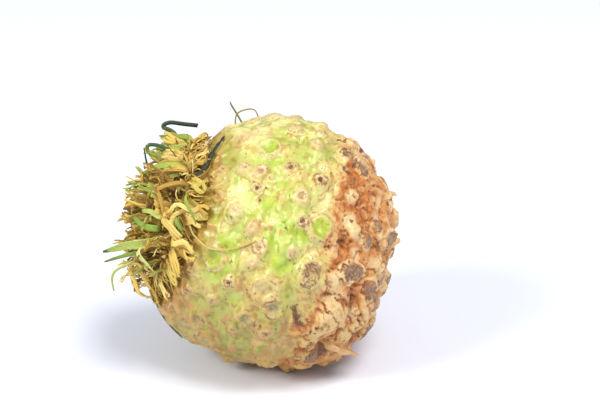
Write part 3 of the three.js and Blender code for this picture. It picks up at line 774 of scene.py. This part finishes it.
class Strands:
    """Bars bent along curves, gathered into one mesh."""

    def __init__(self):
        self.points = []
        self.faces = []
        self.values = {key: [] for key in ("tone", "along", "around", "green", "dark", "foot")}
        self.count = 0

    def add(self, points, faces, **values):
        self.faces += [[corner + self.count for corner in face] for face in faces]
        self.points.append(points)
        self.count += len(points)
        for key, kept in self.values.items():
            kept.append(np.broadcast_to(np.asarray(values.get(key, 0.0), float), len(points)))

    def piece(self, name, material, slot, node):
        values = {key: np.concatenate(kept) for key, kept in self.values.items()}
        return make_piece(name, np.concatenate(self.points), self.faces, values, material, slot, node)


def curve_points(line, shares):
    """A smooth curve through the points of line, at shares of its length."""
    line = [np.array(point, float) for point in line]
    line = [2 * line[0] - line[1]] + line + [2 * line[-1] - line[-2]]
    last = len(line) - 3
    made = []
    for share in shares:
        spot = min(max(share, 0), 1) * last
        start = min(int(spot), last - 1)
        t = spot - start
        a, b, c, d = line[start:start + 4]
        bend = (2 * a - 5 * b + 4 * c - d) * t**2 + (3 * b - 3 * c + d - a) * t**3
        made.append(b + 0.5 * ((c - a) * t + bend))
    return np.array(made)


def add_stalk(strands, points, wide, thick, tip, draw, curl=0, face=None, sides=10, steps=14, torn=0,
              tone=0.5, green=0, dark=0, foot=1, wobble=0, ragged=0):
    """A flattened bar along a curve. Its flat looks away from the growth axis unless a face is given."""
    shares = np.linspace(0, 1, steps + 1)
    line = curve_points(points, shares)
    if wobble:
        phase = 40 * tone
        sway = np.sin(shares[:, None] * np.array([9, 11, 7]) + phase + np.array([0, 2, 4]))
        line = line + wobble * sway * shares[:, None]
    ways = unit(curve_points(points, shares + 1e-4) - curve_points(points, shares - 1e-4))
    middle = curve_points(points, [0.5])[0]
    across = unit(np.cross(ways, face or (middle[0], middle[1], 0.01)))
    flat = np.cross(across, ways)
    angles = 2 * math.pi * np.arange(sides) / sides
    grooves = 1 - 0.1 * np.cos(angles * 4) if sides >= 8 else np.ones(sides)
    x = np.sin(angles) * grooves
    z = np.cos(angles) * grooves
    taper = 1 - (1 - tip) * shares**2
    if ragged:
        taper = taper * (1 + ragged * (np.array([draw() for _ in shares]) - 0.6))
    sideways = np.outer(taper, x) * wide / 2
    upward = np.outer(np.maximum(0.5, thick * taper), z) / 2 + np.outer(taper, curl * x**2) * wide / 2
    made = line[:, None] + across[:, None] * sideways[..., None] + flat[:, None] * upward[..., None]
    if torn:
        tears = np.array([draw() - 0.7 for _ in range(sides)]) * torn
        made[-1] += ways[-1] * tears[:, None]
        made[-2] += ways[-1] * (0.5 * tears[:, None])
    ends = np.array([line[0], line[-1] - ways[-1] * 0.3])
    every = np.concatenate([made.reshape(-1, 3), ends])
    along = np.append(np.repeat(shares, sides), [0, 1])
    around = np.append(np.tile(x, steps + 1), [0, 0])

    def spread(value):
        return value(along) if callable(value) else value

    # The foot value sets the painted shade that darkens the stalk towards its foot
    strands.add(
        every, tube_faces(steps + 1, sides), tone=spread(tone), along=along, around=around,
        green=spread(green), dark=spread(dark), foot=foot * (1 - along) ** 2,
    )


def dry_stalks(count, seed):
    """The tuft's seeded stalks, as in the CAD: points, width, thickness, face."""
    draw = seeded(seed)
    made = []
    for i in range(count):
        spread = math.sqrt((i + 0.5) / count)
        turn = i * GOLDEN_ANGLE + 20 * (draw() - 0.5)
        lean = 4 + 40 * spread**1.8 + 26 * (draw() - 0.5)
        swing = 60 * (draw() - 0.5)
        bend = 70 * (draw() - 0.4)
        length = 17 - 4 * spread**2 + 7 * (draw() - 0.5)
        foot = direction(90, turn) * spread * (CORE_RADIUS - 1.5)
        foot[2] = SEAT_HEIGHT + 2.5 + (CORE_HEIGHT - 5) * math.sqrt(1 - spread * spread)
        first = direction(lean, turn + swing)
        second = direction(lean + bend, turn + 1.8 * swing)
        middle = foot + 0.5 * length * first
        points = [foot - 2.5 * first, middle, middle + 0.5 * length * second]
        wide = 1.7 + 2.6 * draw()
        thick = 0.9 + 0.5 * draw()
        # The CAD draws the tip and the curl here, which the strips of a bundle draw for themselves
        draw()
        draw()
        if points[0][1] < UPPER_EDGE:
            made.append((points, wide, thick, None))
    return made


def rim_scales(count, seed):
    """Papery leaf bases that lie out over the shoulder, as in the CAD: points, width, thickness, face."""
    draw = seeded(seed)
    made = []
    for i in range(count):
        turn = 360 * (i + 0.6 * draw()) / count - 180
        near_front = math.exp(-(((turn + 5) / 55) ** 2))
        reach = 39 + 3.5 * draw() + 4.5 * near_front
        swing = 16 * (draw() - 0.5)
        out = direction(90, turn)
        points = [
            out * (CORE_RADIUS - 5) + np.array([0, 0, SEAT_HEIGHT + 6]),
            on_skin(35, turn + 0.3 * swing, 3),
            on_skin(39, turn + 0.7 * swing, 2.4),
            on_skin(reach, turn + swing, 1.3 + 0.9 * draw()),
        ]
        made.append((points, 2.6 + 4 * draw(), 1, (out[0], out[1], 1.2)))
    return made


# Dry stalks that stand out from the tuft, as in the CAD: points, width, thickness, face
DRY_LEADERS = [
    ([(26, 12, 55), (33, 10, 60), (37.5, 7, 55), (39.5, 4, 50)], 3, 2, (0.3, 0, 1)),
    ([(24, 24, 52), (28, 26, 57), (26, 20, 65), (28, 17, 63.5), (34, 10, 59)], 1.4, 1, None),
    ([(31, 19, 45), (37, 18, 49), (34, 18, 56), (35, 11, 58)], 1.5, 1, None),
    ([(30, 0, 50), (36, 6, 55), (36, 13, 56), (33, 17, 52)], 1.6, 1, None),
    ([(-9, 25, 50), (-10, 30, 56), (-12, 31, 63), (-17, 30, 66)], 3.4, 1, (1, 0.4, 0)),
    ([(6, 24, 50), (3, 29, 57), (1, 28, 65)], 3.6, 1.2, (1, 0.4, 0)),
    ([(16, 24, 50), (15, 28, 56), (12, 24, 65)], 3, 1.2, None),
    ([(16, -18, 60), (19, -24, 66), (19, -30, 62), (19, -35.5, 58), (17, -37, 51)], 1.8, 1, None),
    ([(18, -15, 60), (22, -20, 63), (21, -27, 58), (20, -34, 51), (18, -38, 48)], 1.8, 1, None),
    ([(8, -22, 58), (10, -30, 64), (12, -36, 60), (13, -39, 53)], 1.7, 1, None),
    ([(33, 3, 53), (39, 1, 52.5), (43.5, 5, 48), (47, 2, 43.5)], 2, 1.2, (0.4, 0, 1)),
    ([(34, -4, 52), (40, -5, 51), (43, -12, 46.5)], 4.2, 1.1, (0.4, 0, 1)),
]

# Olive sheaths that fill the fan at the top of the tuft: points, width
TOP_SHEATHS = [
    ([(-12, 26, 50), (-16, 30.5, 54), (-17, 31, 60), (-19, 30, 65)], 2.6),
    ([(-6, 26, 50), (-9, 30.5, 55), (-11, 29, 61), (-12, 26.5, 66)], 3),
    ([(0, 26, 50), (-1, 29.5, 56), (-3, 27.5, 62), (-4, 24.5, 66)], 3.4),
    ([(4, 25, 50), (6, 28, 55), (6, 26, 61), (4, 22.5, 66)], 3),
    ([(9, 25, 50), (13, 27, 54), (13, 24, 60), (11, 20, 65)], 3.2),
]


def add_core(strands):
    """The uneven ground between the stalks, darkened all over as painted shade."""
    segments, rings = 64, 14
    bottom = SEAT_HEIGHT - 1.5
    points = []
    for ring in range(rings):
        lift = 90 * ring / rings * DEGREES
        for segment in range(segments):
            corner = direction(90, 360 * segment / segments) * CORE_RADIUS * math.cos(lift)
            corner[2] = bottom + (CORE_HEIGHT + 1) * math.sin(lift)
            points.append(corner)
    points += [(0, 0, bottom), (0, 0, bottom + CORE_HEIGHT + 1)]
    points = np.array(points)
    rough = noise_at(points, 5, 3, 7)
    points[:, 2] += 1.3 * rough - 0.6
    points[:, :2] *= (1 + 0.03 * rough)[:, None]
    # The foot value darkens the whole core as painted shade
    strands.add(points, tube_faces(rings, segments), tone=0.3 + 0.2 * rough, foot=0.55)


def add_bundle(strands, stalk, strips, draw, tone, green, wobble, **more):
    """A stalk frayed into strips that run side by side and part a little towards the tip."""
    points, wide, thick, face = stalk
    points = [np.array(point, float) for point in points]
    face = face or (points[1][0], points[1][1], 0.01)
    way = unit(points[-1] - points[0])
    across = unit(np.cross(way, face))
    for strip in range(strips):
        side = (strip - (strips - 1) / 2) / strips * wide
        reach = 1.6 * (draw() - 0.6)
        line = [
            point + across * side * (1 + 0.5 * share) + way * reach * share
            for point, share in zip(points, np.linspace(0, 1, len(points)))
        ]
        add_stalk(
            strands, line, 1.6 * wide / strips, 0.7 * thick, 0.6 + 0.4 * draw(), draw,
            curl=0.35 * draw(), face=face, sides=8, steps=10, torn=1.3,
            tone=tone + 0.3 * (draw() - 0.5), green=green, wobble=wobble * (0.5 + draw()), **more,
        )


def add_rim_fibre(strands, draw):
    """A fine fibre that lies out over the shoulder."""
    turn = 360 * draw()
    swing = 50 * (draw() - 0.5)
    reach = 37 + 5 * draw() ** 2
    root = direction(90, turn) * (CORE_RADIUS - 3) + np.array([0, 0, SEAT_HEIGHT + 2 + 7 * draw()])
    middle = on_skin(33.5, turn + 0.4 * swing, 1.5 + 2.5 * draw())
    add_stalk(
        strands, [root, middle, on_skin(reach, turn + swing, 0.3 + 1.2 * draw())],
        0.6 + 1.3 * draw() ** 2, 0.5, 0.5, draw, sides=5, steps=7, torn=0.8,
        tone=0.25 + 0.6 * draw(), green=0.6 * draw() if draw() < 0.3 else 0.0, wobble=0.6, foot=0.6,
    )


def add_fine_fibre(strands, draw):
    """A short fine fibre between the stalks."""
    spread = math.sqrt(draw())
    turn = 360 * draw()
    lean = 8 + 50 * spread**1.5 + 50 * (draw() - 0.5)
    swing = 120 * (draw() - 0.5)
    length = 4 + 6 * draw()
    foot = direction(90, turn) * spread * CORE_RADIUS
    depth = 0.4 + 0.7 * draw()
    foot[2] = SEAT_HEIGHT + 2 + CORE_HEIGHT * depth * math.sqrt(1 - 0.9 * spread * spread)
    first = direction(lean, turn + swing)
    second = direction(lean + 60 * (draw() - 0.3), turn + 2 * swing)
    middle = foot + 0.5 * length * first
    add_stalk(
        strands, [foot - first, middle, middle + 0.5 * length * second],
        0.7 + 1.5 * draw() ** 2, 0.6, 0.6, draw, sides=5, steps=6, torn=0.8,
        tone=0.2 + 0.8 * draw(), green=0.7 * draw() if draw() < 0.2 else 0.0, wobble=0.5, foot=0.8,
    )


def tuft_piece():
    """The whole tuft: core, seeded stalks, leaf bases at the rim, leaders, sheaths and fine fibres."""
    strands = Strands()
    add_core(strands)
    draw = seeded(71)
    for stalk in dry_stalks(DRY_STALKS, 3):
        tone = 0.15 + 0.65 * draw()
        upper = smooth(-5, 18, stalk[0][0][1])
        green = 0.4 + 0.6 * draw() if draw() < 0.2 + 0.35 * upper else 0.0
        add_bundle(strands, stalk, 2 + int(1.6 * draw()), draw, tone, green, 0.8)
    for stalk in rim_scales(RIM_SCALES, 8):
        tone = 0.45 + 0.4 * draw()
        add_bundle(strands, stalk, 3, draw, tone, 0.5 * draw(), 0.9, foot=0.6)
    for stalk in DRY_LEADERS:
        strips = 3 if stalk[1] > 2.5 else 1
        add_bundle(strands, stalk, strips, draw, 0.45 + 0.35 * draw(), 0.0, 0.3, foot=0.5)
    for points, wide in TOP_SHEATHS:
        sheath = (points, wide, 1.2, (1, 0.5, 0))
        add_bundle(strands, sheath, 2, draw, 0.4 + 0.4 * draw(), 0.3 + 0.35 * draw(), 0.4, foot=0.8)
    for _ in range(RIM_FIBRES):
        add_rim_fibre(strands, draw)
    for _ in range(FINE_FIBRES):
        add_fine_fibre(strands, draw)
    return strands.piece("tuft_strands", DRY, "dry_stalk", "stalk_tuft")


def bar(points, wide, thick, tip, **more):
    """The shape of one stalk: its curve, width, thickness, the share of both at the tip, and more."""
    return dict(points=points, wide=wide, thick=thick, tip=tip, **more)


def rising(low, high, power=1):
    """A value that goes from low at a stalk's foot to high at its tip."""
    return lambda along: low + (high - low) * along**power


# Green stalks, dark shreds and loose fibres, each the same curve as its CAD node
GREEN_STALKS = {
    "stalk_top_fan": bar(
        [(-9, 26, 50), (-14, 33, 54), (-14, 32.5, 60), (-15, 30, 68)], 3.6, 1.3, 0.2,
        curl=0.3, face=(1, 0.6, 0), tone=rising(0.8, 0.2)),
    "stalk_top_lower": bar(
        [(-4, 26, 50), (-7, 31.5, 54), (-7, 29.5, 60), (-8, 26, 67)], 3, 1.2, 0.35,
        curl=0.2, face=(1, 0.4, 0), tone=rising(0.9, 0.5)),
    "stalk_loop": bar(
        [(1, 22, 58), (-4, 24, 64), (-5, 24, 71), (-5, 27.5, 72.5), (-3, 29.5, 68), (0, 29.5, 61)],
        2, 1.4, 0.9, face=(1, 0, 0.2), tone=rising(0.75, 0.3), dark=rising(-0.4, 1.3)),
    "stalk_broad_upper": bar(
        [(12, 25, 52), (11, 27, 59), (9, 23, 67), (6, 17, 72)], 4.8, 1.4, 0.55,
        curl=0.35, tone=rising(0.7, 0.4)),
    "stalk_front_left": bar(
        [(24, 3, 58), (31, 3, 61), (29, 2, 67), (24, 3, 72)], 3.8, 1.3, 0.4,
        curl=0.3, tone=rising(0.65, 0.25)),
    "stalk_front_bright": bar(
        [(26, 10, 57), (31, 9, 61), (28, 9, 65.5), (25, 7, 69)], 3.2, 1.2, 0.5,
        curl=0.3, tone=rising(0.9, 0.6)),
    "stalk_front_small": bar(
        [(27, 14, 54), (35, 12, 55), (38, 9, 52), (38.5, 8, 50)], 2.2, 1.2, 0.5,
        curl=0.3, tone=rising(0.5, 0.2)),
    "stalk_neck": bar(
        [(27, 20, 52), (34.5, 21, 53), (38.5, 18, 49.5), (41, 14, 46)], 3, 1.2, 0.5,
        face=(0, 0, 1), tone=rising(0.7, 0.3)),
    "stalk_left_sheath": bar(
        [(22, -4, 58), (30.5, -5, 64), (28.5, -9, 71), (23, -15, 76), (18.5, -20, 80)], 6.4, 1.4, 0.2,
        curl=0.45, tone=rising(0.9, 0.5), dark=rising(-0.9, 1.1, 3)),
    "stalk_left_shred": bar(
        [(20, -13, 60), (26.5, -14, 68), (22, -20, 74), (18, -25, 78)], 3, 1.2, 0.3,
        curl=0.2, tone=rising(0.6, 0.2), dark=rising(-0.3, 0.7)),
    "stalk_pale_strip": bar(
        [(27, -8, 62), (33, -10, 66), (34.5, -14, 60), (34, -18.5, 54)], 4.4, 1.2, 0.25,
        face=(0.3, 0, 1), tone=rising(1, 0.8)),
    "stalk_tendril": bar(
        [(20, -14, 58), (23.5, -19, 66), (19.5, -26.5, 71.5), (19, -31.5, 72.5), (20, -37, 70)],
        1.7, 1.1, 0.5, tone=rising(0.9, 0.6)),
}
DARK_SHREDS = {
    "shred_folded_tube": bar(
        [
            (-15, 25, 54), (-19, 32, 61), (-20.5, 33, 67),
            (-20.5, 36, 64.5), (-19.5, 37.5, 58), (-18.5, 39, 51.5),
        ],
        2.1, 2, 1, face=(1, 0, 0), steps=24, tone=rising(1, 0.3, 0.6)),
    "shred_spike": bar(
        [(2, 13, 63), (-1, 19, 70), (-4, 26, 74)], 1.3, 1, 0.5,
        tone=0.3),
    "shred_shoulder": bar(
        [(21, 27, 50)] + along_skin((37, 59, 1.6), (40, 70, 1.3), (43.5, 79, 1.2), (47.5, 86, 1)),
        2.8, 1.1, 0.35, face=(0.7, 0.5, 0.5), tone=0.15, steps=30, ragged=0.7),
}
FIBRES = {
    "fibre_skin_loop": bar(
        along_skin(
            (36, 19, 2.6), (40, 12, 1.6), (45, 9, 1), (50, 8, 0.9),
            (55, 9, 0.9), (60, 11.5, 0.9), (65, 15, 0.9), (70, 19, 0.8)),
        0.9, 0.9, 0.8, steps=48, tone=0.55),
    "fibre_hanging": bar(
        along_skin((38, -88, 1.5), (43, -88, 1.7), (49, -85, 1.4), (55, -84, 1.7), (62, -82, 1.1)),
        1.1, 1.1, 0.9, steps=36, tone=0.1, dark=0.6),
    "fibre_top_hook": bar(
        [on_skin(61, 128, 0.4), (-33.5, 45.5, 34), (-32, 49, 37.5), (-30, 51, 39)],
        0.9, 0.9, 0.7, steps=24, tone=0.1, dark=0.3),
    "fibre_top_bow": bar(
        [
            on_skin(56, 125, 0.4), (-30.5, 46, 34), (-31, 49.5, 30),
            (-30, 50.5, 26.5), on_skin(67, 121, 1.4),
        ],
        0.8, 0.8, 0.8, steps=30, tone=0.15, dark=0.25),
}

bulb_piece()
tuft_piece()
torn_ends = seeded(9)
for shapes, material, slot, torn in (
    (GREEN_STALKS, GREEN, "green_stalk", 1.6),
    (DARK_SHREDS, DARK, "dark_shred", 0.6),
    (FIBRES, FIBRE, "fibre", 0),
):
    for node, shape in shapes.items():
        strands = Strands()
        add_stalk(strands, **shape, torn=torn, draw=torn_ends, foot=0.4)
        strands.piece(node + "_fine", material, slot, node)


# The floor, the light and the camera

def add_aimed(name, data, place, target):
    """A lamp or camera at a place, turned towards its target."""
    made = add_object(name, data)
    made.location = place
    made.rotation_euler = (Vector(target) - Vector(place)).to_track_quat("-Z", "Y").to_euler()
    return made


def area_light(name, energy, size, place, target, colour):
    light = bpy.data.lights.new(name, "AREA")
    light.energy = energy
    light.size = size
    light.color = colour
    add_aimed(name, light, place, target)


FLOOR_HALF = 3
floor_mesh = bpy.data.meshes.new("floor")
corners = [(x * FLOOR_HALF, y * FLOOR_HALF, 0) for x, y in ((-1, -1), (1, -1), (1, 1), (-1, 1))]
floor_mesh.from_pydata(corners, [], [(0, 1, 2, 3)])
floor = add_object("floor", floor_mesh)
floor_material, _, floor_surface = new_material("pale_floor")
floor_surface["Base Color"].default_value = (0.87, 0.9, 1, 1)
floor_surface["Roughness"].default_value = 0.6
floor_surface["Specular IOR Level"].default_value = 0.2
floor_mesh.materials.append(floor_material)

scene = bpy.context.scene
world = bpy.data.worlds.new("studio")
scene.world = world
world.use_nodes = True
background = world.node_tree.nodes["Background"]
background.inputs["Color"].default_value = (0.88, 0.91, 1, 1)
background.inputs["Strength"].default_value = 0.5
area_light("key", 82, 1.4, (1, -1.1, 3), (0, 0, 0.05), (1, 0.985, 0.96))
area_light("left", 68, 1.1, (-2.4, -1.5, 2), (0, 0, 0.05), (1, 1, 0.98))
scene.view_settings.view_transform = "Standard"

# The camera looks slightly past the bulb, as the photograph frames it
ELEVATION = 22 * DEGREES
DISTANCE = 0.76
RIGHT_OF_BULB = 0.01
ABOVE_BULB = 0.0152
centre = Vector((0, 0, REST_HEIGHT / 1000))
up = Vector((0, math.sin(ELEVATION), math.cos(ELEVATION)))
forward = Vector((0, math.cos(ELEVATION), -math.sin(ELEVATION)))
camera_data = bpy.data.cameras.new("camera")
camera_data.lens = 96
camera_data.sensor_width = 36
target = centre + Vector((RIGHT_OF_BULB, 0, 0)) + up * ABOVE_BULB
scene.camera = add_aimed("camera", camera_data, centre - forward * DISTANCE, target)
